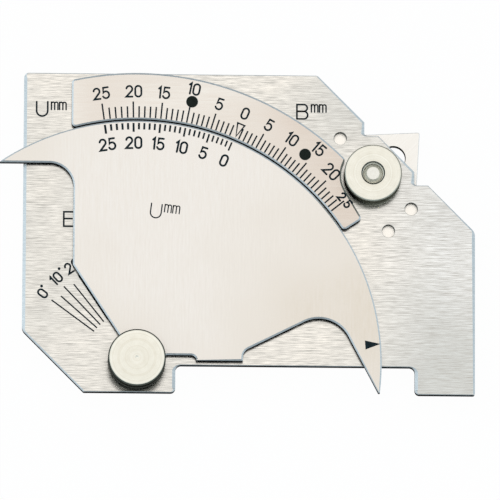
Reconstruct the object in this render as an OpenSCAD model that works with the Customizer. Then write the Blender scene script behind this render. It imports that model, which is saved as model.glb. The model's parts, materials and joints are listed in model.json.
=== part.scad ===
// Weld gauge. A flat base plate stands on two feet. A swing plate turns in front of it on a pivot bush and
// reads against a curved scale plate. A pointed slide runs between two rails behind it, held by a thumb nut.
// The gauge lies on its back: +Z points out of its front, +Y from the feet to the top edge.

/* [Base plate] */
// Thickness of the base plate
base_t = 2; // [1.6:0.1:3]
// Distance from the pivot to the left edge
pivot_to_left = 23.9; // [20:0.1:28]
// Distance from the pivot down to the underside of the feet
pivot_to_feet = 6.2; // [6:0.1:9]
// Distance from the rim of the swing plate to the right edge
right_margin = 19.5; // [17:0.02:26]
// Distance from the rim of the scale plate to the top edge
top_margin = 0.13; // [0.05:0.01:4]
// Leg of the 45 degree cut at the upper right corner
corner_cut = 33; // [28:0.5:36]
// Leg of the 45 degree cut at the lower left corner
heel_cut = 12.9; // [6:0.1:15]
// Radius of the outer corners
corner_r = 1; // [0.3:0.1:2]
// Radius where a 45 degree cut meets an upright edge
cut_r = 2; // [0.5:0.1:4]

/* [Feet and bridge] */
// Height of the gap between the feet
bridge_h = 5.8; // [4.5:0.02:6]
// Distance from the pivot to the inner side of the left foot
left_foot_in = 8.1; // [6.5:0.1:12]
// Width of the right foot
right_foot_w = 12.54; // [8:0.02:16]
// Radius in the upper corners of the gap
bridge_r = 1.2; // [0.4:0.1:2]
// Radius of the feet beside the gap
foot_r = 1; // [0.3:0.1:1.5]
// Radius of the feet at their outer ends
foot_end_r = 0.4; // [0.2:0.1:1]

/* [Edge notches] */
// Distance between the two notches in the upper right edge
notch_span = 14.8; // [12:0.1:22]
// Depth of a notch
notch_d = 2.05; // [1:0.05:3]
// Radius in the bottom of a notch
notch_r = 0.6; // [0.2:0.1:0.8]

/* [Swing plate] */
// Radius of the rim
swing_r = 51; // [46:0.5:56]
// Thickness of the swing plate
swing_t = 1.8; // [1.4:0.1:2.5]
// Gap between the swing plate and the base plate
plate_gap = 0.05; // [0.02:0.01:0.1]
// Drop from the top of the rim to the underside of the beak
beak_drop = 9.1; // [7:0.1:12]
// Distance from the pivot to the upright edge under the beak
upright_x = 13.4; // [10:0.1:16]
// Radius under the beak
beak_r = 5.1; // [2:0.1:7]
// Direction of the edge that reads the angle scale, counted from +X
angle_edge = 123.4; // [112:0.2:130]
// Radius of the hub around the pivot
hub_r = 5.6; // [4.5:0.1:6]
// Radius between the hub and the relief
hub_fillet = 0.9; // [0.3:0.1:1]
// Height of the relief above the pivot
relief_y = 1.4; // [1.2:0.1:3]
// Distance from the pivot to the end of the relief
relief_x = 12.4; // [10:0.1:16]
// Height of the nose above the pivot
nose_y = 0.3; // [0.1:0.1:1]

/* [Arch of the swing plate] */
// Distance from the rim to the middle of the arch's round top
arch_inset = 13.1; // [11:0.1:15]
// Height of the arch above the pivot
arch_top = 9.4; // [8:0.1:14]
// Radius of the arch's round top
arch_r = 7; // [5:0.1:8]
// Reach of the arch from the middle of its top to the nose
arch_reach = 15.8; // [13:0.1:17]
// Slope of the arch's long side
arch_slope = 26.5; // [22:0.5:30]
// Radius where the arch meets the nose
arch_foot_r = 2; // [0.5:0.1:3]
// Width of the flat on the tip of the spike
spike_flat = 0.3; // [0.1:0.05:0.8]

/* [Scale plate] */
// Gap between the rims of the swing plate and the scale plate
scale_gap = 0.35; // [0.3:0.05:0.8]
// Width of the band
scale_w = 9.85; // [8:0.05:12]
// Thickness of the scale plate
scale_t = 1.8; // [1.4:0.1:2.5]
// Distance from the pivot to the left end
scale_left = 13.9; // [10:0.1:18]
// Direction of the right end, counted from +X
scale_end = 33.2; // [30:0.2:36]
// Turn of the straight edge below the thumb nut
nut_edge_turn = 30.7; // [26:0.1:36]
// Room between the scale plate and the thumb nut
nut_room = 0.6; // [0.4:0.1:1.2]
// Radius of the corners
scale_corner_r = 0.8; // [0.3:0.1:1]
// Diameter of the two pins
pin_d = 2.36; // [1.5:0.02:3]
// Depth of a pin in the base plate
pin_depth = 1.5; // [0.8:0.1:1.6]
// Direction of the left pin, counted from +X
pin_left = 78.5; // [74:0.5:84]
// Direction of the right pin, counted from +X
pin_right = 51.7; // [50.5:0.1:56]

/* [Pivot] */
// Diameter of the bush in the plates
bush_d = 6; // [5.2:0.1:7]
// Diameter of the bush's flange
flange_d = 10; // [8:0.1:12]
// Thickness of the bush's flange
flange_t = 1.2; // [0.8:0.1:1.6]
// Diameter of the screw's shank
shank_d = 3.9; // [3:0.1:4.2]
// Diameter of the washer under the knob
pivot_washer_d = 10; // [8:0.1:11]
// Thickness of the washer under the knob
pivot_washer_t = 0.4; // [0.2:0.1:0.8]
// Diameter of the knob
knob_d = 12; // [10:0.1:12.2]
// Height of the knob
knob_h = 4.4; // [3.5:0.1:6]
// Chamfer on the rim of the knob
knob_chamfer = 0.35; // [0.1:0.05:0.6]
// Height of the groove above the knob's underside
groove_y = 1.45; // [1:0.05:2.2]
// Width of the groove round the knob
groove_w = 0.5; // [0.2:0.1:0.8]
// Depth of the groove round the knob
groove_d = 0.25; // [0.1:0.05:0.5]
// Diameter of the centre mark in the knob's face
centre_mark_d = 0.7; // [0.4:0.1:1.2]

/* [Throat slide] */
// Distance from the edge of the upper right cut to the clamp stud
stud_inset = 7.05; // [6:0.05:9]
// Width of the slide
slide_w = 16.4; // [14:0.1:18]
// Thickness of the slide
slide_t = 1.5; // [1:0.1:2]
// Gap between the slide and what guides it
slide_gap = 0.05; // [0.02:0.01:0.1]
// Travel outwards from rest
travel_out = 16.5; // [12:0.5:18]
// Travel inwards from rest
travel_in = 5; // [3:0.1:6]
// Width of the slot
slot_w = 5; // [4.6:0.1:6]
// Distance from the slot's outer end to the tip
tip_lead = 7.8; // [6:0.1:10]
// Wall behind the slot's inner end
heel_wall = 3; // [2:0.1:5]
// Angle of the point
tip_angle = 84; // [70:1:90]
// Radius of the point
tip_r = 0.4; // [0.2:0.1:1]

/* [Guide rails] */
// Length of a rail
rail_l = 13.7; // [11:0.1:16]
// Width of a rail beside the slide
rail_w = 4.5; // [3.6:0.1:6]
// Distance from the stud back to the middle of the rails
rail_back = 2.35; // [1:0.05:4]
// Thickness of the lip over the slide
lip_t = 1; // [0.6:0.1:1.5]
// Width of the lip over the slide
lip_over = 1.6; // [0.8:0.1:2.4]
// Chamfer along the outside of a rail
rail_chamfer = 0.4; // [0.1:0.1:0.8]
// Diameter of the rivets
rivet_d = 2.66; // [2:0.02:3]
// Distance between the rivets of one rail
rivet_pitch = 6.7; // [5:0.1:8]
// Depth of a rivet's end below the face
rivet_sink = 1.2; // [0.2:0.1:1.4]

/* [Clamp] */
// Diameter of the stud's thread
stud_d = 4; // [3:0.1:4.4]
// Diameter of the stud's end face
stud_end_d = 2.65; // [2:0.05:2.9]
// Diameter across the turned corners of the stud's square neck
neck_d = 6; // [5.6:0.1:6.5]
// Diameter of the stud's head
head_d = 8; // [7.2:0.1:10]
// Thickness of the stud's head
head_t = 1.2; // [0.8:0.1:2]
// Diameter of the washer under the thumb nut
clamp_washer_d = 10; // [8:0.1:11]
// Thickness of the washer under the thumb nut
clamp_washer_t = 0.4; // [0.2:0.1:0.8]
// Diameter of the thumb nut
nut_d = 12; // [10:0.1:12.4]
// Height of the thumb nut
nut_h = 4.3; // [3.5:0.1:6]
// Chamfer on the rims of the thumb nut
nut_chamfer = 0.35; // [0.1:0.05:0.6]
// Diameter of the recess in the thumb nut's face
recess_d = 4.9; // [4.8:0.05:6]
// Depth of the recess in the thumb nut's face
recess_depth = 0.9; // [0.4:0.1:1.4]
// Depth of the stud's end below the thumb nut's face
stud_sink = 0.5; // [0.2:0.1:0.8]

/* [Fits] */
// Radial gap of a part that turns or is screwed
run_gap = 0.05; // [0.02:0.01:0.1]
// Radial gap of a pressed part
press_gap = 0.02; // [0.01:0.01:0.04]
// Radial gap of a clearance hole
hole_gap = 0.12; // [0.1:0.02:0.3]

/* [Hidden] */
$fn = 96;

// Overlap of a corner web with the plate, and of a cutter with what it cuts
lap = 0.4;
far = 3 * swing_r;

// Angle at which a round crosses the edge that it runs into, so that the two meet in one clean point
seat = 4;

// Rims of the scale plate
scale_in = swing_r + scale_gap;
scale_out = scale_in + scale_w;
pin_ring = (scale_in + scale_out) / 2;

// Edges of the base plate, from the pivot
left_x = -pivot_to_left;
right_x = swing_r + right_margin;
top_y = scale_out + top_margin;
feet_y = -pivot_to_feet;
bridge_y = feet_y + bridge_h;
right_foot_in = right_x - right_foot_w;

// Tips of the swing plate, both on its rim
beak_y = swing_r - beak_drop;
beak_x = -sqrt(swing_r * swing_r - beak_y * beak_y);
spike_x = sqrt(swing_r * swing_r - feet_y * feet_y) - spike_flat;

// Round top of the arch, and the end of the nose beside it
arch_centre = [swing_r - arch_inset, arch_top - arch_r];
nose_x = arch_centre[0] - arch_reach;

// Clamp stud, on the bisector of the upper right corner
stud_back = corner_cut / 2 + stud_inset * cos(45);
stud = [right_x - stud_back, top_y - stud_back];

// Heights of the stack, from the lowest point of the gauge
rail_h = slide_t + 2 * slide_gap;
base_z = rail_h + max(lip_t, head_t);
front_z = base_z + base_t;
slide_z = base_z - slide_gap - slide_t;
head_z = base_z - rail_h - head_t;
lip_z = base_z - rail_h - lip_t;
swing_z = front_z + plate_gap;
knob_z = swing_z + swing_t + pivot_washer_t;
nut_z = front_z + clamp_washer_t;
stud_top = nut_z + nut_h - stud_sink;

// Middle of the outline at rest, which stands over the origin
mid_x = (right_x + min(left_x, beak_x)) / 2;
mid_y = (top_y + min(feet_y, -knob_d / 2)) / 2;

// The stud's neck is a square with its corners turned off, so it reaches into the slot's round ends
neck_w = slot_w - 2 * slide_gap;
neck_corner = sqrt(neck_d * neck_d - neck_w * neck_w) / 2;
slot_corner = sqrt(slot_w * slot_w - neck_w * neck_w) / 2;
neck_lead = neck_corner - slot_corner + slide_gap;
slot_outer = travel_in + neck_lead;
slot_inner = -travel_out - neck_lead;
tip_u = slot_outer + tip_lead;
heel_u = slot_inner - slot_w / 2 - heel_wall;
rail_in = slide_w / 2 + slide_gap;

function dir(a) = [cos(a), sin(a)];
function heading(v) = atan2(v[1], v[0]);
function unit(v) = v / norm(v);
function flat(p) = [p[0], p[1]];
function turns_left(a, b, c) = (b[0] - a[0]) * (c[1] - b[1]) > (b[1] - a[1]) * (c[0] - b[0]);

// Half of the angle between the two edges that meet in b
function half_angle(a, b, c) = acos(unit(a - b) * unit(c - b)) / 2;

// Centre of a circle of radius r that touches both edges of corner b
function round_centre(a, b, c, r) = b + unit(unit(a - b) + unit(c - b)) * r / sin(half_angle(a, b, c));

// Sliver between a corner and the circle that rounds it; mid is the way from the centre to the corner
module web(centre, r, mid, spread) {
    reach = r + lap;
    difference() {
        polygon([
            centre,
            centre + reach * dir(mid - spread),
            centre + reach / cos(spread) * dir(mid),
            centre + reach * dir(mid + spread)
        ]);
        translate(centre) circle(r / cos(seat));
    }
}

module corner_web(a, b, c, r) {
    centre = round_centre(a, b, c, r);
    web(centre, r, heading(b - centre), 90 - half_angle(a, b, c));
}

// Polygon with a radius for each of its points, which are [x, y, radius] and go round counter-clockwise
module rounded(path) {
    n = len(path);
    before = [for (i = [0 : n - 1]) flat(path[(i + n - 1) % n])];
    here = [for (p = path) flat(p)];
    after = [for (i = [0 : n - 1]) flat(path[(i + 1) % n])];
    difference() {
        union() {
            polygon(here);
            for (i = [0 : n - 1])
                if (path[i][2] > 0 && !turns_left(before[i], here[i], after[i]))
                    corner_web(before[i], here[i], after[i], path[i][2]);
        }
        for (i = [0 : n - 1])
            if (path[i][2] > 0 && turns_left(before[i], here[i], after[i]))
                corner_web(before[i], here[i], after[i], path[i][2]);
    }
}

// Puts a piece that is drawn from the pivot into the gauge's frame
module from_pivot(z = 0) {
    translate([-mid_x, -mid_y, z]) children();
}

// Puts a piece that is drawn from the stud, with X along the slide's travel, into the gauge's frame
module from_stud(z = 0) {
    from_pivot(z) translate(stud) rotate(45) children();
}

module slab(t) {
    linear_extrude(t) children();
}

module rivet_places() {
    for (u = [-rivet_pitch / 2, rivet_pitch / 2], v = [-1, 1])
        translate([u - rail_back, v * (rail_in + rail_w / 2)]) children();
}

module pin_places() {
    for (a = [pin_left, pin_right]) translate(pin_ring * dir(a)) children();
}

module base_outline() {
    rounded([
        [left_x + heel_cut, feet_y, foot_end_r],
        [left_foot_in, feet_y, foot_r],
        [left_foot_in, bridge_y, bridge_r],
        [right_foot_in, bridge_y, bridge_r],
        [right_foot_in, feet_y, foot_r],
        [right_x, feet_y, foot_end_r],
        [right_x, top_y - corner_cut, cut_r],
        [right_x - corner_cut, top_y, corner_r],
        [left_x, top_y, corner_r],
        [left_x, feet_y + heel_cut, cut_r]
    ]);
}

// Square notch that stands on its corner in the upper right edge
module edge_notch() {
    side = 2 * notch_d + lap;
    rounded([[0, 0, notch_r], [side, 0, 0], [side, side, 0], [0, side, 0]]);
}

module base_plate() {
    color("#d3d3cf") difference() {
        from_pivot(base_z) slab(base_t) base_outline();
        from_stud(base_z - lap) for (v = [-1, 1])
            translate([stud_inset - notch_d, v * notch_span / 2]) rotate(-45) slab(base_t + 2 * lap) edge_notch();
        from_stud(base_z - lap) cylinder(h = base_t + 2 * lap, d = stud_d + 2 * hole_gap);
        from_stud(base_z - lap) rivet_places() cylinder(h = base_t + 2 * lap, d = rivet_d + 2 * press_gap);
        from_pivot(base_z - lap) cylinder(h = base_t + 2 * lap, d = bush_d + 2 * press_gap);
        from_pivot(front_z - pin_depth) pin_places() cylinder(h = pin_depth + lap, d = pin_d + 2 * press_gap);
    }
}

// Blank of the swing plate: the disc within its straight edges, with the radius under the beak
module swing_blank() {
    intersection() {
        circle(swing_r);
        polygon([
            [-swing_r, beak_y],
            [-upright_x, beak_y],
            [-upright_x, -upright_x * tan(angle_edge)],
            [0, 0],
            [0, nose_y],
            [nose_x, nose_y],
            [nose_x, feet_y],
            [swing_r, feet_y],
            [swing_r, swing_r],
            [-swing_r, swing_r]
        ]);
    }
    web([-upright_x - beak_r, beak_y - beak_r], beak_r, 45, 45);
}

// Relief between the hub and the nose, closed by a quarter round
module relief_cut() {
    r = min(relief_y - nose_y, relief_x - hub_r);
    difference() {
        translate([0, relief_y - far]) square([relief_x, far]);
        web([relief_x - r, relief_y - r], r, 45, 45);
    }
}

// Arch over the weld: a round top with one tangent to the nose and one to the tip of the spike
module arch_cut() {
    r = arch_r * cos(seat);
    nose_top = arch_centre[1] + r / cos(arch_slope) - arch_reach * tan(arch_slope);
    to_tip = [spike_x, feet_y] - arch_centre;
    tangent = heading(to_tip) + acos(r / norm(to_tip));
    rounded([
        [nose_x, -far, 0],
        [spike_x, -far, 0],
        [spike_x, feet_y, 0],
        concat(arch_centre + r * dir(tangent), 0),
        concat(arch_centre, 0),
        concat(arch_centre + r * dir(90 + arch_slope), 0),
        [nose_x, nose_top, arch_foot_r]
    ]);
    translate(arch_centre) circle(arch_r);
}

// Fillet between the hub and the underside of the relief
module hub_web() {
    y = relief_y - hub_fillet;
    centre = [sqrt(pow(hub_r + hub_fillet, 2) - y * y), y];
    to_hub = 180 + heading(centre);
    web(centre, hub_fillet, (90 + to_hub) / 2, (to_hub - 90) / 2);
}

module swing_plate() {
    color("#e3dfd5") from_pivot(swing_z) slab(swing_t) difference() {
        union() {
            difference() {
                swing_blank();
                relief_cut();
                arch_cut();
            }
            circle(hub_r);
            hub_web();
        }
        circle(d = bush_d + 2 * run_gap);
    }
}

// Corner webs of the scale plate's left end, against its outer and inner rims
module scale_left_webs() {
    r = scale_corner_r;
    x = r - scale_left;
    upper = [x, sqrt(pow(scale_out - r, 2) - x * x)];
    lower = [x, sqrt(pow(scale_in + r, 2) - x * x)];
    web(upper, r, (heading(upper) + 180) / 2, (180 - heading(upper)) / 2);
    web(lower, r, heading(lower) / 2 + 180, heading(lower) / 2);
}

// Corner webs of the scale plate's right end: at the inner rim, at the straight edge and at the outer rim
module scale_right_webs() {
    r = scale_corner_r;
    room = nut_d / 2 + nut_room;
    off = asin(r / (scale_in + r));
    inner = (scale_in + r) * dir(scale_end + off);
    web(inner, r, scale_end + 225 + off / 2, 45 - off / 2);

    edge = nut_edge_turn + 180;
    side = scale_end + 90;
    along = stud * dir(edge) + room + r;
    outer = [along * sin(side) - r * sin(edge), r * cos(edge) - along * cos(side)] / sin(side - edge);
    web(outer, r, (nut_edge_turn + scale_end - 90) / 2, (nut_edge_turn - scale_end + 90) / 2);

    lift = acos((stud * stud + pow(scale_out - r, 2) - pow(room + r, 2)) / (2 * norm(stud) * (scale_out - r)));
    upper = (scale_out - r) * dir(heading(stud) + lift);
    to_stud = heading(stud - upper);
    web(upper, r, (heading(upper) + to_stud) / 2, (heading(upper) - to_stud) / 2);
}

module scale_outline() {
    difference() {
        intersection() {
            circle(scale_out);
            polygon([[0, 0], far * dir(scale_end), [far, far], [-scale_left, far], [-scale_left, 0]]);
        }
        circle(scale_in);
        translate(stud) circle(nut_d / 2 + nut_room);
        translate(stud) rotate(nut_edge_turn) translate([-nut_d / 2 - nut_room, -far]) square([far, far]);
        scale_left_webs();
        scale_right_webs();
    }
}

module scale_plate() {
    color("#e6ddd1") difference() {
        from_pivot(front_z) slab(scale_t) scale_outline();
        from_pivot(front_z - lap) pin_places() cylinder(h = scale_t + 2 * lap, d = pin_d + 2 * press_gap);
    }
}

module scale_pins() {
    color("#1b211d") from_pivot(front_z - pin_depth) pin_places() cylinder(h = pin_depth + scale_t, d = pin_d);
}

module pivot_bush() {
    color("#c9c8c2") from_pivot() difference() {
        union() {
            translate([0, 0, base_z - flange_t]) cylinder(h = flange_t, d = flange_d);
            translate([0, 0, base_z]) cylinder(h = base_t + swing_t, d = bush_d);
        }
        cylinder(h = far, d = shank_d + 2 * run_gap);
    }
}

module pivot_washer() {
    color("#bdbcb6") from_pivot(swing_z + swing_t) difference() {
        cylinder(h = pivot_washer_t, d = pivot_washer_d);
        translate([0, 0, -lap]) cylinder(h = pivot_washer_t + 2 * lap, d = shank_d + 2 * hole_gap);
    }
}

// Knob and shank turned from one bar
module pivot_screw() {
    r = knob_d / 2;
    mark = centre_mark_d / 2;
    color("#e2dfcf") from_pivot(knob_z) rotate_extrude() polygon([
        [0, base_z - flange_t - knob_z],
        [shank_d / 2, base_z - flange_t - knob_z],
        [shank_d / 2, 0],
        [r - knob_chamfer, 0],
        [r, knob_chamfer],
        [r, groove_y - groove_w / 2],
        [r - groove_d, groove_y],
        [r, groove_y + groove_w / 2],
        [r, knob_h - knob_chamfer],
        [r - knob_chamfer, knob_h],
        [mark, knob_h],
        [0, knob_h - mark]
    ]);
}

module throat_slide() {
    half = slide_w / 2;
    shoulder = tip_u - half / tan(tip_angle / 2);
    color("#e9e4db") from_stud(slide_z) slab(slide_t) difference() {
        rounded([
            [heel_u, -half, corner_r],
            [shoulder, -half, 0],
            [tip_u, 0, tip_r],
            [shoulder, half, 0],
            [heel_u, half, corner_r]
        ]);
        translate([slot_inner, -slot_w / 2]) square([slot_outer - slot_inner, slot_w]);
        for (u = [slot_inner, slot_outer]) translate([u, 0]) circle(d = slot_w);
    }
}

// L-section rail on the +Y side of the stud: a foot beside the slide and a lip behind its edge
module rail() {
    outer = rail_in + rail_w;
    color("#cfccc5") difference() {
        translate([-rail_back - rail_l / 2, 0, base_z]) rotate([90, 0, 90]) slab(rail_l) polygon([
            [rail_in, 0],
            [rail_in, -rail_h],
            [rail_in - lip_over, -rail_h],
            [rail_in - lip_over, -rail_h - lip_t],
            [outer - rail_chamfer, -rail_h - lip_t],
            [outer, -rail_h - lip_t + rail_chamfer],
            [outer, 0]
        ]);
        translate([0, 0, lip_z - lap]) rivet_places() cylinder(h = far, d = rivet_d + 2 * press_gap);
    }
}

module guide_rail_upper() {
    from_stud() rail();
}

module guide_rail_lower() {
    from_stud() mirror([0, 1, 0]) rail();
}

module rail_rivets() {
    color("#efe9df") from_stud(lip_z) rivet_places()
        cylinder(h = front_z - rivet_sink - lip_z, d = rivet_d);
}

module clamp_stud() {
    end_chamfer = (stud_d - stud_end_d) / 2;
    color("#d9d7cf") from_stud(head_z) {
        cylinder(h = head_t, d = head_d);
        translate([0, 0, head_t]) slab(rail_h - slide_gap) intersection() {
            square(neck_w, center = true);
            circle(d = neck_d);
        }
        rotate_extrude() polygon([
            [0, 0],
            [stud_d / 2, 0],
            [stud_d / 2, stud_top - head_z - end_chamfer],
            [stud_end_d / 2, stud_top - head_z],
            [0, stud_top - head_z]
        ]);
    }
}

module clamp_washer() {
    color("#bdbcb6") from_stud(front_z) difference() {
        cylinder(h = clamp_washer_t, d = clamp_washer_d);
        translate([0, 0, -lap]) cylinder(h = clamp_washer_t + 2 * lap, d = stud_d + 2 * hole_gap);
    }
}

module clamp_nut() {
    r = nut_d / 2;
    bore = stud_d / 2 + run_gap;
    color("#e2dfcf") from_stud(nut_z) rotate_extrude() polygon([
        [bore, 0],
        [r - nut_chamfer, 0],
        [r, nut_chamfer],
        [r, nut_h - nut_chamfer],
        [r - nut_chamfer, nut_h],
        [recess_d / 2, nut_h],
        [recess_d / 2, nut_h - recess_depth],
        [bore, nut_h - recess_depth]
    ]);
}

base_plate();
swing_plate();
scale_plate();
scale_pins();
pivot_bush();
pivot_washer();
pivot_screw();
throat_slide();
guide_rail_upper();
guide_rail_lower();
rail_rivets();
clamp_stud();
clamp_washer();
clamp_nut();
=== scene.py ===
"""Looks of the flat weld gauge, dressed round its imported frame.

The plates get worn edges, the knobs are turned and knurled, and the scales are inlaid by the gauge's own
measuring law. Sizes are in millimetres and angles in degrees, unless a text says otherwise. Lengths become
metres where a mesh, a node, a lamp or a camera is made.
"""

from __future__ import annotations

import functools
import json
import logging
import math
from dataclasses import dataclass, field
from enum import Enum

import bpy
import numpy as np
from mathutils import Matrix, Vector, geometry


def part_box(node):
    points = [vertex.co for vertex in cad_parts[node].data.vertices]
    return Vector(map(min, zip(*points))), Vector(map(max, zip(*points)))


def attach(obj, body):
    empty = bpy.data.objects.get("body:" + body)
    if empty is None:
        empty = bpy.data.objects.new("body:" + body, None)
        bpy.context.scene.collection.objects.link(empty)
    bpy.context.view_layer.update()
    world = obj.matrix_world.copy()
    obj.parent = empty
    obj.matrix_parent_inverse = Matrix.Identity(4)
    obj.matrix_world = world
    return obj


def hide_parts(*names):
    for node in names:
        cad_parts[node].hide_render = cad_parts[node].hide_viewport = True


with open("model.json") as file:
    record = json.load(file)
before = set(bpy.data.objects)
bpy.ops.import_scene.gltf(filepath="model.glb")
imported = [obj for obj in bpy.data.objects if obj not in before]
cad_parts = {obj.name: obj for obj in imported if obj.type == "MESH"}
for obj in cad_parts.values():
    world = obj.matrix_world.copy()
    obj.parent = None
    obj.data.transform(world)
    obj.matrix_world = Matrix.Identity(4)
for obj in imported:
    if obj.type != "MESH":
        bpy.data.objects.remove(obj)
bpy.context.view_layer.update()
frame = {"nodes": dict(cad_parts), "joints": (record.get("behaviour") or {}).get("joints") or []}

MM = 0.001
Pair = tuple[float, float]
Triple = tuple[float, float, float]
Colour = Triple

# Angles between faces from which an edge stays sharp, or is broken by a bevel of so many steps
SHARP_ANGLE = math.radians(35)
BEVEL_ANGLE = math.radians(40)
BEVEL_STEPS = 3
# Gaps under which levels, or points, count as one, and the digits that places are rounded to
LEVEL_GAP = 1e-3
MERGE_GAP = 1e-6
POINT_DIGITS = 4
RADIUS_DIGITS = 3
# Steps in a millimetre and numbers in a row where places in the plane are numbered
CODE_STEPS = 1000
CODE_ROW = 10_000_000
# Degrees between the points of a sign's arc, and a washer's broken edge as a share of its thickness
ARC_STEP = 14
WASHER_EDGE = 0.25
WASHER_SEGMENTS = 96

log = logging.getLogger("weld_gauge")


class Socket:
    """A node's output that takes part in Python sums: each operator adds a Math node."""

    def __init__(self, tree: bpy.types.NodeTree, output: bpy.types.NodeSocket) -> None:
        """Keep the tree and the output that a sum reads."""
        self.tree = tree
        self.output = output

    def math(self, operation: str, *operands: Socket | float) -> Socket:
        """Add one Math node.

        Args:
            operation: Name of the Math node's operation.
            operands: Values or links of its inputs, in order.

        Returns:
            The node's output.
        """
        node = self.tree.nodes.new("ShaderNodeMath")
        node.operation = operation
        for slot, operand in zip(node.inputs, operands):
            if isinstance(operand, Socket):
                self.tree.links.new(operand.output, slot)
            else:
                slot.default_value = operand
        return Socket(self.tree, node.outputs[0])

    def __add__(self, other: Socket | float) -> Socket:
        """Sum of two values."""
        return self.math("ADD", self, other)

    def __radd__(self, other: float) -> Socket:
        """Sum of a number and a value."""
        return self.math("ADD", other, self)

    def __sub__(self, other: Socket | float) -> Socket:
        """Difference of two values."""
        return self.math("SUBTRACT", self, other)

    def __rsub__(self, other: float) -> Socket:
        """Difference of a number and a value."""
        return self.math("SUBTRACT", other, self)

    def __mul__(self, other: Socket | float) -> Socket:
        """Product of two values."""
        return self.math("MULTIPLY", self, other)

    def __rmul__(self, other: float) -> Socket:
        """Product of a number and a value."""
        return self.math("MULTIPLY", other, self)

    def swing(self, amount: float) -> Socket:
        """How far a noise lies from its middle, times an amount."""
        return (self - 0.5) * amount

    def clamped(self) -> Socket:
        """The value held between 0 and 1."""
        return self.math("MINIMUM", self.math("MAXIMUM", self, 0.0), 1.0)

    def step_between(self, low: float, high: float) -> Socket:
        """A straight rise from 0 at low to 1 at high."""
        return ((self - low) * (1 / (high - low))).clamped()


class Shader:
    """The nodes of one material, or of the world."""

    def __init__(self, tree: bpy.types.NodeTree) -> None:
        """Start from an empty tree."""
        tree.nodes.clear()
        self.tree = tree

    def node(self, kind: str, settings: dict | None = None, inputs: dict | None = None) -> bpy.types.Node:
        """Add a node.

        Args:
            kind: Blender's name of the node's type.
            settings: Properties of the node, set first.
            inputs: Values or links of its sockets, by name or number.

        Returns:
            The new node.
        """
        made = self.tree.nodes.new(kind)
        for key, value in (settings or {}).items():
            setattr(made, key, value)
        for key, value in (inputs or {}).items():
            if isinstance(value, Socket):
                self.tree.links.new(value.output, made.inputs[key])
            else:
                made.inputs[key].default_value = value
        return made

    def out(self, node: bpy.types.Node, key: str | int = 0) -> Socket:
        """One output of a node."""
        return Socket(self.tree, node.outputs[key])

    def place(self, scale: Triple = (1, 1, 1), centre: Triple = (0, 0, 0)) -> Socket:
        """The piece's own coordinates.

        Args:
            scale: Factor on each axis.
            centre: Point in metres that the pattern is counted from.

        Returns:
            The vector (coordinate - centre) * scale.
        """
        coordinates = self.out(self.node("ShaderNodeTexCoord"), "Object")
        shift = tuple(-c * s for c, s in zip(centre, scale))
        inputs = {"Vector": coordinates, "Location": shift, "Scale": scale}
        return self.out(self.node("ShaderNodeMapping", None, inputs))

    def along(self, vector: Socket, way: tuple[float, ...], pitch: float = 1.0) -> Socket:
        """Distance of a place along one way.

        Args:
            vector: The place.
            way: Direction in the plane or in space.
            pitch: Length that counts as 1.

        Returns:
            The distance, counted in pitches.
        """
        flat_or_solid = (*way, 0.0)[:3]
        inputs = {0: vector, 1: tuple(part / pitch for part in flat_or_solid)}
        return self.out(self.node("ShaderNodeVectorMath", {"operation": "DOT_PRODUCT"}, inputs), "Value")

    def noise(self, vector: Socket, detail: float, roughness: float) -> Socket:
        """Noise of about one lump for each unit of the vector, from 0 to 1."""
        inputs = {"Vector": vector, "Scale": 1.0, "Detail": detail, "Roughness": roughness}
        return self.out(self.node("ShaderNodeTexNoise", None, inputs))

    def lumps(self, count: float, detail: float = 2.0, roughness: float = 0.5, level: float = 0.0) -> Socket:
        """Noise, from 0 to 1, of so many lumps in a metre, counted from a level that sets where they lie."""
        return self.noise(self.place((count, count, count), (0, 0, level)), detail, roughness)

    def rings(self, distance: Socket, detail: float) -> Socket:
        """Noise along one distance, so that it makes rings, from 0 to 1."""
        inputs = {"W": distance, "Scale": 1.0, "Detail": detail}
        return self.out(self.node("ShaderNodeTexNoise", {"noise_dimensions": "1D"}, inputs))

    def mix(self, factor: Socket, low: Socket | Colour, high: Socket | Colour) -> Socket:
        """Colour between two colours.

        Args:
            factor: 0 for the first colour, 1 for the second.
            low: First colour.
            high: Second colour.

        Returns:
            The mixed colour.
        """
        ends = [c if isinstance(c, Socket) else (*c, 1.0) for c in (low, high)]
        node = self.node("ShaderNodeMix", {"data_type": "RGBA"}, {0: factor, 6: ends[0], 7: ends[1]})
        return self.out(node, 2)

    def bump(self, height: Socket, depth: float) -> Socket:
        """Surface normal bent by a height from 0 to 1, which stands for a depth in millimetres."""
        inputs = {"Strength": 1.0, "Distance": depth * MM, "Height": height}
        return self.out(self.node("ShaderNodeBump", None, inputs))

    def finish(self, surface: bpy.types.Node, target: str = "ShaderNodeOutputMaterial") -> None:
        """Send a shader node to the tree's output."""
        self.node(target, None, {"Surface": self.out(surface)})


class Grain(Enum):
    """The way that brush or grinding lines run on a plate."""

    ALONG_X = (1.0, 0.0)
    ALONG_Y = (0.0, 1.0)
    ALONG_SLIDE = (0.7071, 0.7071)


class Finish:
    """A surface finish, which makes its own material."""

    name: str

    def nodes(self, shader: Shader) -> bpy.types.Node:
        """Add the finish's nodes and return its shader node."""
        raise NotImplementedError

    def material(self) -> bpy.types.Material:
        """Make the material of this finish.

        Returns:
            The new material.
        """
        made = bpy.data.materials.new(self.name)
        made.use_nodes = True
        shader = Shader(made.node_tree)
        shader.finish(self.nodes(shader))
        return made


@functools.cache
def material_of(finish: Finish) -> bpy.types.Material:
    """The one material of a finish, however many pieces wear it."""
    return finish.material()


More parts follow.
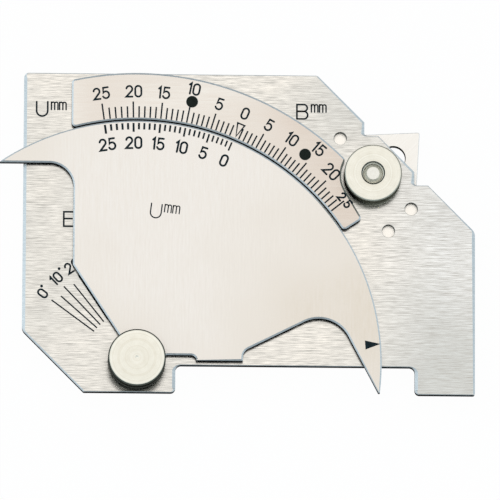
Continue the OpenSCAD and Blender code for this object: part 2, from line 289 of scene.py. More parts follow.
@dataclass(frozen=True)
class BrushedSteel(Finish):
    """Steel with one-way brush lines, broad stains, a painted shade gradient and a roughness that follows
    the lines.

    Length and width are those of a brush line. The stains take the share stained of the face, and the drift
    more for each metre along X and Y; that straight rise is painted shade, a darker gradient for the light's
    fall-off across the plate. Patchy is how far their noise moves that share. The noise has so many
    patches in a metre, and the height patch_level that it is counted from, in metres, sets where they lie. A
    cool colour takes the light one's place across cool_edge, a stretch along X in metres.
    """

    name: str
    light: Colour
    dark: Colour
    stain: Colour
    grain: Grain
    length: float
    width: float
    contrast: float
    roughness: float
    stained: float = 0.5
    drift: Pair = (0.0, 0.0)
    patchy: float = 1.4
    patch_level: float = 0.0
    patches: float = 30.0
    cool: Colour | None = None
    cool_edge: Pair = (0.026, 0.042)
    dash_share: float = 0.6
    hair_run: float = 0.3
    hair_cross: float = 1.2
    hair_level: float = 5.0
    bright: float = 0.6
    rough_range: float = 0.16
    depth: float = 0.002

    def nodes(self, shader: Shader) -> bpy.types.Node:
        """Add the brush lines.

        Two noises that are drawn out along the grain give short dashes and long hairs. A broad noise gives
        the stains, and a straight rise of their share across the plate adds painted shade.

        Args:
            shader: The material's nodes.

        Returns:
            The surface shader.
        """
        across = (self.grain.value[1], -self.grain.value[0])
        place = shader.place((1 / MM, 1 / MM, 1 / MM))
        run = shader.along(place, self.grain.value, self.length)
        cross = shader.along(place, across, self.width)
        dash = shader.node("ShaderNodeCombineXYZ", None, {"X": run, "Y": cross})
        short = shader.noise(shader.out(dash), detail=2.0, roughness=0.6)
        drawn_out = {"X": run * self.hair_run, "Y": cross * self.hair_cross, "Z": self.hair_level}
        hair = shader.node("ShaderNodeCombineXYZ", None, drawn_out)
        long = shader.noise(shader.out(hair), detail=1.0, roughness=0.5)
        lines = short * self.dash_share + long * (1 - self.dash_share)
        tone = self.bright + lines.swing(self.contrast)
        broad = shader.lumps(self.patches, level=self.patch_level)
        # Painted shade: the last term makes the stain colour's share rise straight across the plate
        share = self.stained + broad.swing(self.patchy) + shader.along(shader.place(), self.drift)
        right = shader.along(shader.place(), Grain.ALONG_X.value).step_between(*self.cool_edge)
        light = shader.mix(right, self.light, self.cool or self.light)
        body = shader.mix(share.clamped(), light, self.stain)
        return shader.node("ShaderNodeBsdfPrincipled", None, {
            "Base Color": shader.mix(tone.clamped(), self.dark, body),
            "Metallic": 1.0,
            "Roughness": self.roughness + lines.swing(self.rough_range),
            "Normal": shader.bump(lines, self.depth),
        })


@dataclass(frozen=True)
class TurnedMetal(Finish):
    """Metal turned on a lathe, with rings round an upright axis.

    Pitch is the width of a tool mark, with fine_rings finer rings in it. Worn_spots are counted in a metre.
    """

    name: str
    light: Colour
    dark: Colour
    axis: Pair
    pitch: float = 0.55
    contrast: float = 1.7
    roughness: float = 0.33
    fine_rings: float = 5.0
    mark_share: float = 0.65
    worn: float = 0.5
    worn_spots: float = 700.0
    bright: float = 0.5
    rough_range: float = 0.2
    depth: float = 0.003

    def nodes(self, shader: Shader) -> bpy.types.Node:
        """Add the rings.

        Noise along the distance from the axis gives the tool marks, and noise in space their wear.

        Args:
            shader: The material's nodes.

        Returns:
            The surface shader.
        """
        centre = (self.axis[0] * MM, self.axis[1] * MM, 0.0)
        place = shader.place((1 / MM, 1 / MM, 0.0), centre)
        reach = shader.node("ShaderNodeVectorMath", {"operation": "LENGTH"}, {0: place})
        distance = shader.out(reach, "Value")
        marks = shader.rings(distance * (1 / self.pitch), detail=3.0)
        fine = shader.rings(distance * (self.fine_rings / self.pitch), detail=1.0)
        rings = marks * self.mark_share + fine * (1 - self.mark_share)
        tone = self.bright + rings.swing(self.contrast) + shader.lumps(self.worn_spots).swing(self.worn)
        return shader.node("ShaderNodeBsdfPrincipled", None, {
            "Base Color": shader.mix(tone.clamped(), self.dark, self.light),
            "Metallic": 1.0,
            "Roughness": self.roughness + rings.swing(self.rough_range),
            "Normal": shader.bump(rings, self.depth),
        })


@dataclass(frozen=True)
class CutEdge(Finish):
    """The sawn and filed side of a plate, rougher than its face, in a dark colour that is painted shade, and
    dark at a flat angle too.

    Glance is its light at a flat angle, kept low as painted shade. Marks are counted in a metre on each
    axis, and so are stains.
    """

    name: str
    light: Colour
    dark: Colour
    roughness: float
    glance: float = 0.08
    marks: Triple = (4200.0, 4200.0, 500.0)
    stains: float = 260.0
    mark_share: float = 0.7
    stain_share: float = 0.6
    shade: float = 0.15
    rough_range: float = 0.2
    depth: float = 0.004

    def nodes(self, shader: Shader) -> bpy.types.Node:
        """Add uneven file marks over the plate's thickness.

        Args:
            shader: The material's nodes.

        Returns:
            The surface shader.
        """
        marks = shader.noise(shader.place(self.marks), detail=2.0, roughness=0.6)
        stains = shader.lumps(self.stains)
        tone = (marks * self.mark_share + stains * self.stain_share - self.shade).clamped()
        return shader.node("ShaderNodeBsdfPrincipled", None, {
            "Base Color": shader.mix(tone, self.dark, self.light),
            "Metallic": 1.0,
            # Painted shade: a low tint darkens the side's reflection at a flat angle
            "Specular Tint": (self.glance, self.glance, self.glance, 1.0),
            "Roughness": self.roughness + marks.swing(self.rough_range),
            "Normal": shader.bump(marks, self.depth),
        })


@dataclass(frozen=True)
class DarkCoat(Finish):
    """A dark matt coat: blackened steel, or the paint in an engraved line.

    Lump is the size of its grain, and relief is the grain's height as a share of that size.
    """

    name: str
    light: Colour
    dark: Colour
    lump: float
    roughness: float = 0.6
    shine: float = 0.12
    thin_spots: Pair = (0.3, 0.8)
    rough_range: float = 0.3
    relief: float = 0.02

    def nodes(self, shader: Shader) -> bpy.types.Node:
        """Add the coat's grain and its thin spots.

        Args:
            shader: The material's nodes.

        Returns:
            The surface shader.
        """
        grain = shader.lumps(1 / (self.lump * MM), detail=3.0, roughness=0.6)
        return shader.node("ShaderNodeBsdfPrincipled", None, {
            "Base Color": shader.mix(grain.step_between(*self.thin_spots), self.dark, self.light),
            "Metallic": 0.0,
            "Specular IOR Level": self.shine,
            "Roughness": self.roughness + grain.swing(self.rough_range),
            "Normal": shader.bump(grain, self.relief * self.lump),
        })


@dataclass(frozen=True)
class PaleFloor(Finish):
    """A white table top that keeps the gauge's soft shadow.

    Glow is the share of plain white that the lens and shiny metal see. Flecks are counted in a metre.
    """

    name: str
    tone: Colour
    glow: float
    flecks: float = 90.0
    fleck_tone: float = 0.985

    def nodes(self, shader: Shader) -> bpy.types.Node:
        """Add a plain matt white, which the lens and shiny metal see as nearly white light.

        Args:
            shader: The material's nodes.

        Returns:
            The surface shader.
        """
        soft = tuple(self.fleck_tone * c for c in self.tone)
        colour = shader.mix(shader.lumps(self.flecks), soft, self.tone)
        matt = shader.node("ShaderNodeBsdfDiffuse", None, {"Color": colour})
        light = shader.node("ShaderNodeEmission", None, {"Color": (1, 1, 1, 1), "Strength": 1.0})
        path = shader.node("ShaderNodeLightPath")
        seen = shader.out(path, "Is Camera Ray") + shader.out(path, "Is Glossy Ray")
        share = (seen + shader.out(path, "Is Transmission Ray")).clamped() * self.glow
        ends = {1: shader.out(matt), 2: shader.out(light)}
        return shader.node("ShaderNodeMixShader", None, {0: share, **ends})


def new_object(name: str, data: bpy.types.ID) -> bpy.types.Object:
    """Put new data into the scene.

    Args:
        name: Name of the object.
        data: Its mesh, lamp or camera.

    Returns:
        The object, which stands at the origin.
    """
    made = bpy.data.objects.new(name, data)
    bpy.context.scene.collection.objects.link(made)
    return made


@dataclass
class Surface:
    """Points and the faces between them, with a finish number and a shading for each block of faces."""

    points: np.ndarray
    faces: list[np.ndarray]
    finishes: list[int]
    smooth: list[bool]

    @classmethod
    def grid(cls, points: np.ndarray, wrap: tuple[bool, bool] = (False, False), finish: int = 0) -> Surface:
        """Quads over a grid of points.

        Corner (i, j) of the grid joins (i, j + 1), (i + 1, j + 1) and (i + 1, j), with the last row or
        column joined to the first one where it wraps.

        Args:
            points: Array of rows, columns and coordinates.
            wrap: Whether the rows, and the columns, close on themselves.
            finish: Number of the finish.

        Returns:
            The surface.
        """
        rows, columns = points.shape[:2]
        index = np.arange(rows * columns).reshape(rows, columns)
        index = np.pad(index, ((0, int(wrap[0])), (0, int(wrap[1]))), mode="wrap")
        quads = np.stack([index[:-1, :-1], index[:-1, 1:], index[1:, 1:], index[1:, :-1]], -1).reshape(-1, 4)
        return cls(points.reshape(-1, 3), [quads], [finish], [True])

    @classmethod
    def joined(cls, parts: list[Surface]) -> Surface:
        """Several surfaces as one.

        Args:
            parts: The surfaces.

        Returns:
            One surface with all their points, faces and finishes.
        """
        starts = np.cumsum([0] + [len(part.points) for part in parts])
        return cls(
            np.concatenate([part.points for part in parts]),
            [block + start for part, start in zip(parts, starts) for block in part.faces],
            [finish for part in parts for finish in part.finishes],
            [smooth for part in parts for smooth in part.smooth],
        )

    def piece(
        self, name: str, body: str, slot: str, finishes: list[Finish], replaces: tuple[str, ...] = ()
    ) -> None:
        """Make the surface an object of the gauge.

        Args:
            name: Name of the piece.
            body: Body that it moves with.
            slot: Not used.
            finishes: Finishes, in the order of the surface's finish numbers.
            replaces: Nodes of the frame that it stands for.
        """
        mesh = bpy.data.meshes.new(name)
        faces = [row for block in self.faces for row in block.tolist()]
        mesh.from_pydata((self.points * MM).tolist(), [], faces)
        counts = [len(block) for block in self.faces]
        mesh.polygons.foreach_set("material_index", np.repeat(self.finishes, counts))
        mesh.set_sharp_from_angle(angle=SHARP_ANGLE)
        mesh.polygons.foreach_set("use_smooth", np.repeat(self.smooth, counts))
        for finish in finishes:
            mesh.materials.append(material_of(finish))
        made = new_object(name, mesh)
        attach(made, body)
        if replaces:
            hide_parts(*replaces)
        log.info("%s: %d points, %d faces, on %s", name, len(self.points), len(faces), body)


def node_points(node: str) -> np.ndarray:
    """Places of a node's points.

    Args:
        node: Name of the node in the frame.

    Returns:
        Rows of X, Y and Z in millimetres.
    """
    mesh = frame["nodes"][node].data
    flat = np.empty(len(mesh.vertices) * 3)
    mesh.vertices.foreach_get("co", flat)
    return flat.reshape(-1, 3) / MM


def levels(node: str) -> Pair:
    """Lowest and highest level of a node, in millimetres."""
    low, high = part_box(node)
    return low.z / MM, high.z / MM


def reach_of(node: str, axis: np.ndarray) -> float:
    """Farthest distance of a node's points from an upright axis."""
    return float(np.hypot(*(node_points(node)[:, :2] - axis).T).max())


def radii(node: str, axis: np.ndarray, level: float) -> np.ndarray:
    """Radii of a node at one level.

    Args:
        node: Name of the node in the frame.
        axis: Where the upright axis stands.
        level: Height of the points that count.

    Returns:
        Their distances from the axis, each named once and in rising order.
    """
    points = node_points(node)
    reach = np.hypot(*(points[np.abs(points[:, 2] - level) < LEVEL_GAP, :2] - axis).T)
    return np.unique(reach.round(RADIUS_DIGITS))


def joint_place(joint: str) -> np.ndarray:
    """Where a joint's axis stands, seen from the front, in millimetres."""
    return np.array(next(j for j in frame["joints"] if j["name"] == joint)["pos_m"][:2]) / MM


def heading(degrees: np.ndarray | float) -> np.ndarray:
    """Unit vectors at angles counted from +X."""
    turn = np.radians(degrees)
    return np.stack([np.cos(turn), np.sin(turn)], -1)


def unit(vectors: np.ndarray) -> np.ndarray:
    """Vectors brought to length 1."""
    return vectors / np.linalg.norm(vectors, axis=-1, keepdims=True)


def left_of(vectors: np.ndarray) -> np.ndarray:
    """Vectors in the plane turned a quarter to the left."""
    return np.stack([-vectors[..., 1], vectors[..., 0]], -1)


PIVOT = joint_place("swing_turn")
STUD = joint_place("nut_turn")
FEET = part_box("base_plate")[0].y / MM
RIM = reach_of("swing_plate", PIVOT)


def from_pivot(degrees: np.ndarray | float, reach: np.ndarray | float) -> np.ndarray:
    """Places at an angle from +X and a distance from the pivot."""
    return PIVOT + heading(degrees) * np.asarray(reach)[..., None]


@dataclass
class PlateSkin:
    """A flat plate of the frame with worn edges.

    The frame gives the outline. A small quarter round at the back, the plate's wall and a broad bevel at the
    front are carried along it, and flat faces close the two sides. Wear takes at most the share wear_share
    of what a short side can lose.
    """

    node: str
    edge: float
    lean: float = 0.0
    level: float = 0.0
    sink: float = 0.6
    hole_edge: float = 0.06
    back_edge: float = 0.12
    wear_share: float = 0.9
    steps: int = 5
    bevel_steps: int = 2
    points: np.ndarray = field(init=False)
    after: np.ndarray = field(init=False)
    before: np.ndarray = field(init=False)

    def __post_init__(self) -> None:
        """Read the outline from the frame."""
        front, links = self.rim(top=True)
        back, back_links = self.rim(top=False)
        through = np.isin(self.codes(front), self.codes(back[np.unique(back_links)]))
        links = links[through[links].all(1)]
        used, names = np.unique(links, return_inverse=True)
        names = names.reshape(links.shape)
        self.points = front[used, :2]
        self.after = np.empty(len(used), int)
        self.after[names[:, 0]] = names[:, 1]
        self.before = np.empty(len(used), int)
        self.before[names[:, 1]] = names[:, 0]

    @staticmethod
    def codes(points: np.ndarray) -> np.ndarray:
        """One whole number for each place in the plane, to a thousandth of a millimetre."""
        steps = np.round(points[:, :2] * CODE_STEPS).astype(np.int64)
        return steps[:, 0] * CODE_ROW + steps[:, 1]

    def rim(self, top: bool) -> tuple[np.ndarray, np.ndarray]:
        """Border of one flat side.

        The border is made of the triangle sides that no neighbour shares.

        Args:
            top: Whether it is the front side.

        Returns:
            The node's points, and pairs of point numbers with the plate on the left of each.
        """
        mesh = frame["nodes"][self.node].data
        corners = np.empty(len(mesh.loops), int)
        mesh.loops.foreach_get("vertex_index", corners)
        points, names = np.unique(node_points(self.node).round(POINT_DIGITS), axis=0, return_inverse=True)
        triangles = names.ravel()[corners].reshape(-1, 3)
        level = levels(self.node)[int(top)]
        triangles = triangles[(np.abs(points[triangles, 2] - level) < LEVEL_GAP).all(1)]
        sides = np.concatenate([triangles[:, [0, 1]], triangles[:, [1, 2]], triangles[:, [2, 0]]])
        count = len(points)
        alone = ~np.isin(sides[:, 0] * count + sides[:, 1], sides[:, 1] * count + sides[:, 0])
        return points, sides[alone]

    def loops(self) -> np.ndarray:
        """The loop that each point belongs to.

        The lowest point number spreads along each loop in doubling jumps.

        Returns:
            The lowest point number of each point's loop.
        """
        loop = np.arange(len(self.points))
        jump = self.after
        for _ in range(int(np.ceil(np.log2(len(loop)))) + 1):
            loop = np.minimum(loop, loop[jump])
            jump = jump[jump]
        return loop

    def is_hole(self) -> np.ndarray:
        """Which points lie on a hole.

        A hole's loop runs backwards, so that its area is negative.

        Returns:
            Whether each point lies on a hole.
        """
        loop = self.loops()
        ahead = self.points[self.after]
        strips = self.points[:, 0] * ahead[:, 1] - self.points[:, 1] * ahead[:, 0]
        area = np.bincount(loop, strips, len(loop))
        return area[loop] < 0

    def insets(self) -> tuple[np.ndarray, np.ndarray]:
        """How the outline draws in.

        Two sides that meet at a point draw in together along the sum of their inward normals. The wear of a
        side whose inward normal rises by u is edge (1 + lean u + level |u|). A side shrinks by the tangents
        of half its turns, so where it is short the wear stays under what it can lose.

        Returns:
            The way of each point for a wear of 1, and the wear that it takes.
        """
        out = self.points[self.after] - self.points
        length = np.linalg.norm(out, axis=1)
        out = unit(out)
        into = out[self.before]
        bend = 1 + (into * out).sum(1)
        way = (left_of(into) + left_of(out)) / bend[:, None]
        half_turn = (into[:, 0] * out[:, 1] - into[:, 1] * out[:, 0]) / bend
        loss = half_turn + half_turn[self.after]
        room = np.full(len(loss), np.inf)
        np.divide(length, loss, out=room, where=loss > MERGE_GAP)
        rise = np.clip(way[:, 1], -1, 1)
        edge = self.edge * (1 + self.lean * rise + self.level * np.abs(rise))
        wear = np.where(self.is_hole(), self.hole_edge, edge)
        return way, np.minimum(wear, self.wear_share * np.minimum(room, room[self.before]))

    def surface(self) -> Surface:
        """The worn plate.

        With the angle a from 0 to 90 degrees, the back's round of width b draws in by b (1 - sin a) and
        stands b (1 - cos a) from the flat side. The front's bevel draws in by the wear w and stands w times
        the sink deep.

        Returns:
            The plate, with finish 0 on its faces, 1 on the worn front edge, 2 on the cut wall and the back
            edge, and 3 in the holes.
        """
        low, high = levels(self.node)
        way, wear = self.insets()
        turn = np.linspace(0, np.pi / 2, self.steps + 1)[:, None]
        share = np.linspace(0, 1, self.bevel_steps + 1)[:, None]
        back = np.minimum(wear, self.back_edge)
        inset = np.concatenate([back * (1 - np.sin(turn)), wear * share])
        height = np.concatenate([low + back * (1 - np.cos(turn)), high - self.sink * wear * (1 - share)])
        rings = np.concatenate([self.points + way * inset[..., None], height[..., None]], -1)
        rows, count = rings.shape[:2]
        index = np.arange(rows * count).reshape(rows, count)
        quads = np.stack([index[:-1], index[:-1, self.after], index[1:, self.after], index[1:]], -1)
        hole = self.is_hole()
        front, wall = quads[self.steps + 1 :, ~hole], quads[: self.steps + 1, ~hole]
        over = self.flat_side(rings[-1, :, :2]) + (rows - 1) * count
        under = self.flat_side(rings[0, :, :2])[:, ::-1]
        faces = [front, wall, quads[:, hole], over, under]
        faces = [block.reshape(-1, block.shape[-1]) for block in faces]
        return Surface(rings.reshape(-1, 3), faces, [1, 2, 3, 0, 0], [True, True, True, False, False])

    def flat_side(self, ring: np.ndarray) -> np.ndarray:
        """Triangles of one flat side, with its holes open.

        A triangle that has all its corners on one hole fills that hole, because the holes are round or have
        round ends.

        Args:
            ring: Places of the outline's points on that side.

        Returns:
            Point numbers of each triangle, counter-clockwise from the front.
        """
        links = np.stack([np.arange(len(ring)), self.after], 1).tolist()
        only_inside = 1
        places = [Vector(place) for place in ring]
        filled = geometry.delaunay_2d_cdt(places, links, [], only_inside, MERGE_GAP)
        origin = np.array([names[0] for names in filled[3]])
        corners = origin[np.array(filled[2])]
        loop = self.loops()[corners]
        return corners[~(self.is_hole()[corners].all(1) & (loop == loop[:, :1]).all(1))]


def blended(corners: np.ndarray, steps: int = 4) -> np.ndarray:
    """A profile with its corners rounded.

    A corner P that is cut back to A and B becomes (1 - s)^2 A + 2 s (1 - s) P + s^2 B for s from 0 to 1.

    Args:
        corners: Rows of radius, height, the distance that the corner is cut back by, and the finish number
            of the side that starts there.
        steps: Pieces in each rounding.

    Returns:
        Rows of radius, height and the finish number of the side that starts there.
    """
    here, cut = corners[:, :2], corners[:, 2:3]
    back = unit(np.roll(here, 1, 0) - here)
    ahead = unit(np.roll(here, -1, 0) - here)
    s = np.linspace(0, 1, steps + 1)[:, None]
    curves = [
        (1 - s) ** 2 * (p + c * b) + 2 * s * (1 - s) * p + s**2 * (p + c * a) if c > 0 else p[None]
        for p, c, b, a in zip(here, cut, back, ahead)
    ]
    finishes = np.repeat(corners[:, 3], [len(curve) for curve in curves])
    return np.column_stack([np.concatenate(curves), finishes])


def turned(profile: np.ndarray, axis: np.ndarray, segments: int, closed: bool) -> Surface:
    """A profile carried round an upright axis.

    The point at radius r and height h goes to (r cos t, r sin t, h) for t round the circle.

    Args:
        profile: Rows of radius, height and finish number, in the order from the underside over the outside
            to the top. It starts and ends on the axis unless it is closed.
        axis: Where the axis stands.
        segments: Columns round the axis.
        closed: Whether the profile closes on itself, as a ring's does.

    Returns:
        The turned surface.
    """
    ring = heading(np.arange(segments) * 360 / segments)
    rows = profile if closed else profile[1:-1]
    level = np.broadcast_to(rows[:, None, 1:2], (len(rows), segments, 1))
    points = np.concatenate([axis + rows[:, None, :1] * ring, level], -1)
    surface = Surface.grid(points, (closed, True))
    strips = surface.faces[0].reshape(-1, segments, 4)
    finish = rows[: len(strips), 2].astype(int)
    kinds = np.unique(finish)
    surface.faces = [strips[finish == kind].reshape(-1, 4) for kind in kinds]
    surface.finishes = kinds.tolist()
    surface.smooth = [True] * len(kinds)
    if closed:
        return surface
    count = len(surface.points)
    here = np.arange(segments)
    ahead = np.roll(here, -1)
    under = np.stack([np.full(segments, count), ahead, here], 1)
    over = np.stack([np.full(segments, count + 1), here, ahead], 1) + [0, count - segments, count - segments]
    surface.points = np.concatenate([surface.points, [[*axis, profile[0, 1]], [*axis, profile[-1, 1]]]])
    surface.faces += [under, over]
    surface.finishes += [int(profile[0, 2]), int(profile[-2, 2])]
    surface.smooth += [True, True]
    return surface


@dataclass(frozen=True)
class Inlay:
    """Paint in engraved lines: thin bars that stand a hair proud of a face.

    End_turns are the angles at which a round end has points. Bend_limit keeps the outer side of a sharp
    corner from shooting out.
    """

    level: float
    proud: float = 0.006
    sunk: float = 0.05
    end_turns: Triple = (15.0, 40.0, 65.0)
    bend_limit: float = 0.3

    def section(self, left: np.ndarray, right: np.ndarray) -> np.ndarray:
        """Corners of a bar's section.

        Args:
            left: Places on the bar's left side.
            right: Places across from them.

        Returns:
            Upper left, upper right, lower right and lower left corner at each place.
        """
        top = np.full(left.shape[:-1] + (1,), self.level + self.proud)
        foot = top - self.proud - self.sunk
        upper = [np.concatenate([side, top], -1) for side in (left, right)]
        lower = [np.concatenate([side, foot], -1) for side in (right, left)]
        return np.stack(upper + lower, -2)

    def ribbon(self, path: np.ndarray, width: float, closed: bool = False) -> Surface:
        """A bar of constant width along a path, with round ends.

        Each point moves half the width to both sides along the sum of its sides' normals. At an open end the
        half width falls along a circle, as the root of (w / 2)^2 - d^2 at the distance d past the end.

        Args:
            path: Points of the middle line.
            width: Width of the bar.
            closed: Whether the path closes on itself.

        Returns:
            The closed surface of the bar.
        """
        half = np.full(len(path), width / 2)
        if not closed:
            past, beside = width / 2 * heading(self.end_turns).T
            head = path[0] - unit(path[1] - path[0]) * past[:, None]
            tail = path[-1] + unit(path[-1] - path[-2]) * past[::-1, None]
            path = np.concatenate([head, path, tail])
            half = np.concatenate([beside, half, beside[::-1]])
        out = unit(np.roll(path, -1, 0) - path)
        into = np.roll(out, 1, 0)
        if not closed:
            out[-1], into[0] = into[-1], out[0]
        bend = np.maximum(1 + (into * out).sum(1), self.bend_limit)
        way = (left_of(into) + left_of(out)) / bend[:, None]
        points = self.section(path + way * half[:, None], path - way * half[:, None])
        bar = Surface.grid(points, (closed, True))
        if not closed:
            corners = np.arange(points.shape[1])
            bar.faces += [np.stack([-corners % len(corners), corners + len(corners) * (len(path) - 1)])]
            bar.finishes += [0]
            bar.smooth += [False]
        bar.smooth[0] = False
        return bar

    def bars(self, start: np.ndarray, end: np.ndarray, width: np.ndarray | float) -> Surface:
        """Many straight bars with square ends.

        Args:
            start: Where each bar starts.
            end: Where each bar ends.
            width: Width of each bar.

        Returns:
            The closed surfaces of all the bars.
        """
        side = left_of(unit(end - start)) * np.reshape(width, (-1, 1)) / 2
        rings = [self.section(place + side, place - side) for place in (start, end)]
        points = np.concatenate(rings, 1)
        box = [[0, 1, 5, 4], [1, 2, 6, 5], [2, 3, 7, 6], [3, 0, 4, 7], [0, 3, 2, 1], [4, 5, 6, 7]]
        faces = (np.arange(len(start)) * points.shape[1])[:, None, None] + np.array(box)
        return Surface(points.reshape(-1, 3), [faces.reshape(-1, 4)], [0], [False])

    def blade(self, outline: np.ndarray) -> Surface:
        """A filled shape with a straight wall.

        Args:
            outline: Its corners, counter-clockwise.

        Returns:
            The closed surface of the shape.
        """
        count = len(outline)
        height = np.repeat([self.level - self.sunk, self.level + self.proud], count)[:, None]
        points = np.concatenate([np.tile(outline, (2, 1)), height], 1)
        here = np.arange(count)
        ahead = np.roll(here, -1)
        wall = np.stack([here, ahead, ahead + count, here + count], 1)
        caps = np.stack([here[::-1], here + count])
        return Surface(points, [wall, caps], [0, 0], [False, False])


def line(*points: Pair) -> np.ndarray:
    """A path through a few points."""
    return np.array(points, float)


def bow(centre: Pair, reach: Pair, start: float, end: float) -> np.ndarray:
    """A path along an ellipse's arc, from one angle to another in steps of about ARC_STEP."""
    turns = np.linspace(start, end, int(abs(end - start) / ARC_STEP) + 2)
    return np.array(centre) + heading(turns) * np.array(reach)


def drawn(*paths: np.ndarray) -> np.ndarray:
    """Several paths drawn as one stroke."""
    return np.concatenate(paths)


@dataclass(frozen=True)
class Glyph:
    """Engraver's strokes of one sign, for a height of 1."""

    width: float
    strokes: tuple[np.ndarray, ...]
    closed: bool = False


OVAL = drawn(bow((0.28, 0.72), (0.28, 0.28), 0, 180), bow((0.28, 0.28), (0.28, 0.28), 180, 360))
TWO = drawn(bow((0.28, 0.72), (0.27, 0.28), 170, -40), line((0, 0), (0.56, 0)))
THREE = drawn(bow((0.27, 0.75), (0.26, 0.25), 160, -80), bow((0.27, 0.26), (0.29, 0.26), 80, -160))
FIVE = drawn(line((0.53, 1), (0.1, 1), (0.05, 0.53)), bow((0.27, 0.32), (0.3, 0.32), 128, -155))
CUP = drawn(line((0, 1)), bow((0.38, 0.37), (0.38, 0.37), 180, 360), line((0.76, 1)))
UPPER_BOWL = drawn(line((0, 0), (0, 1)), bow((0.48, 0.765), (0.23, 0.235), 90, -90), line((0, 0.53)))
LOWER_BOWL = drawn(line((0, 0.53)), bow((0.48, 0.265), (0.26, 0.265), 90, -90), line((0, 0)))
ARCH = drawn(bow((0.215, 0.78), (0.215, 0.22), 180, 0), line((0.43, 0)))
GLYPHS = {
    "0": Glyph(0.56, (OVAL,), closed=True),
    "1": Glyph(0.16, (line((0, 0.84), (0.16, 1), (0.16, 0)),)),
    "2": Glyph(0.56, (TWO,)),
    "3": Glyph(0.56, (THREE,)),
    "4": Glyph(0.6, (line((0.44, 0), (0.44, 1), (0, 0.28), (0.6, 0.28)),)),
    "5": Glyph(0.58, (FIVE,)),
    "U": Glyph(0.76, (CUP,)),
    "B": Glyph(0.74, (UPPER_BOWL, LOWER_BOWL)),
    "E": Glyph(0.64, (line((0.64, 1), (0, 1), (0, 0), (0.64, 0)), line((0, 0.53), (0.56, 0.53)))),
    "m": Glyph(0.86, (line((0, 0), (0, 1)), ARCH, ARCH + [0.43, 0])),
}


@dataclass(frozen=True)
class Lettering:
    """A row of engraved signs, with a space between them that is a share of their height."""

    inlay: Inlay
    height: float
    stroke: float
    space: float = 0.26

    def write(self, text: str, centre: np.ndarray, turn: float = 0.0) -> Surface:
        """Inlay a text about its middle.

        Args:
            text: Signs of the row.
            centre: Middle of the row.
            turn: Angle of the row, counted from +X.

        Returns:
            The inlaid signs.
        """
        glyphs = [GLYPHS[sign] for sign in text]
        widths = np.array([glyph.width for glyph in glyphs])
        starts = np.concatenate([[0], np.cumsum(widths + self.space)[:-1]])
        middle = np.array([(starts[-1] + widths[-1]) / 2, 0.5])
        across, up = heading(turn), heading(turn + 90)
        parts = []
        for glyph, start in zip(glyphs, starts):
            for path in glyph.strokes:
                flat = (path + [start, 0] - middle) * self.height
                placed = centre + flat[:, :1] * across + flat[:, 1:] * up
                parts.append(self.inlay.ribbon(placed, self.stroke, glyph.closed))
        return Surface.joined(parts)

    def on_ring(self, text: str, turn: float, ring: float, aside: float = 0.0) -> Surface:
        """Inlay a text on a ring round the pivot, square to an angle and moved aside by some degrees."""
        return self.write(text, from_pivot(turn + aside, ring), turn - 90)


@dataclass(frozen=True)
class Legend:
    """Letters and raised units on a plate, at places counted from the pivot."""

    letters: tuple[tuple[str, Pair], ...]
    units: tuple[Pair, ...]
    letter_height: float
    letter_stroke: float
    unit_height: float
    unit_stroke: float
    unit_space: float = 0.22
    turn: float = 0.0

    def inlaid(self, inlay: Inlay) -> Surface:
        """Inlay the letters and the units.

        Args:
            inlay: Level of the face.

        Returns:
            The inlaid signs.
        """
        tall = Lettering(inlay, self.letter_height, self.letter_stroke)
        small = Lettering(inlay, self.unit_height, self.unit_stroke, self.unit_space)
        parts = [tall.write(letter, PIVOT + place, self.turn) for letter, place in self.letters]
        return Surface.joined(parts + [small.write("mm", PIVOT + place, self.turn) for place in self.units])


@dataclass(frozen=True)
class MeasuringLaw:
    """How the marks of the height scales follow from the swing of the spike and the beak.

    Both tips lie on the rim. At its zero a tip stands level with the feet, at the angle
    rest = asin(drop / rim) under the pivot. When it has swung down by d it stands
    rim (sin(d + rest) - sin(rest)) under the feet, which gives the marks to the left of zero. When it has
    swung up by d it stands rim (sin(d - rest) + sin(rest)) over them, which gives the marks to the right.
    """

    rim: float
    drop: float
    zero: float = 67.2

    def left_of_zero(self, heights: np.ndarray) -> np.ndarray:
        """Angles of the marks to the left of zero, in degrees from +X."""
        rest = math.asin(self.drop / self.rim)
        return self.zero + np.degrees(np.arcsin(heights / self.rim + math.sin(rest)) - rest)

    def right_of_zero(self, heights: np.ndarray) -> np.ndarray:
        """Angles of the marks to the right of zero, in degrees from +X."""
        rest = math.asin(self.drop / self.rim)
        return self.zero - np.degrees(np.arcsin(heights / self.rim - math.sin(rest)) + rest)


LAW = MeasuringLaw(RIM, float(PIVOT[1] - FEET))
SPAN = 25
HEIGHTS = np.arange(SPAN + 1)
STEP = 5

# Painted shade: on the base, swing and scale faces the stain colour's share rises straight towards +X, and
# towards -Y on the swing, a darker gradient that stands in for the light's fall-off across the plates
BASE_FACE = BrushedSteel(
    "base_brushed", light=(0.92, 0.868, 0.787), dark=(0.46, 0.445, 0.41), stain=(0.605, 0.615, 0.588),
    grain=Grain.ALONG_X, length=2.8, width=0.16, contrast=4.5, roughness=0.2,
    stained=0.2, drift=(4.0, 0.0), patchy=2.6, patch_level=36.025, cool=(0.84, 0.836, 0.812))
SWING_FACE = BrushedSteel(
    "swing_satin", light=(0.855, 0.808, 0.755), dark=(0.75, 0.695, 0.63), stain=(0.715, 0.635, 0.53),
    grain=Grain.ALONG_Y, length=3.0, width=0.42, contrast=1.6, roughness=0.36,
    stained=0.3, drift=(6.0, -6.0), patchy=2.0, patch_level=29.601)
SCALE_FACE = BrushedSteel(
    "scale_satin", light=(0.89, 0.85, 0.785), dark=(0.72, 0.645, 0.57), stain=(0.695, 0.59, 0.505),
    grain=Grain.ALONG_X, length=4.0, width=0.36, contrast=2.0, roughness=0.36,
    stained=0.5, drift=(9.0, 0.0), patchy=2.6, patch_level=27.082)
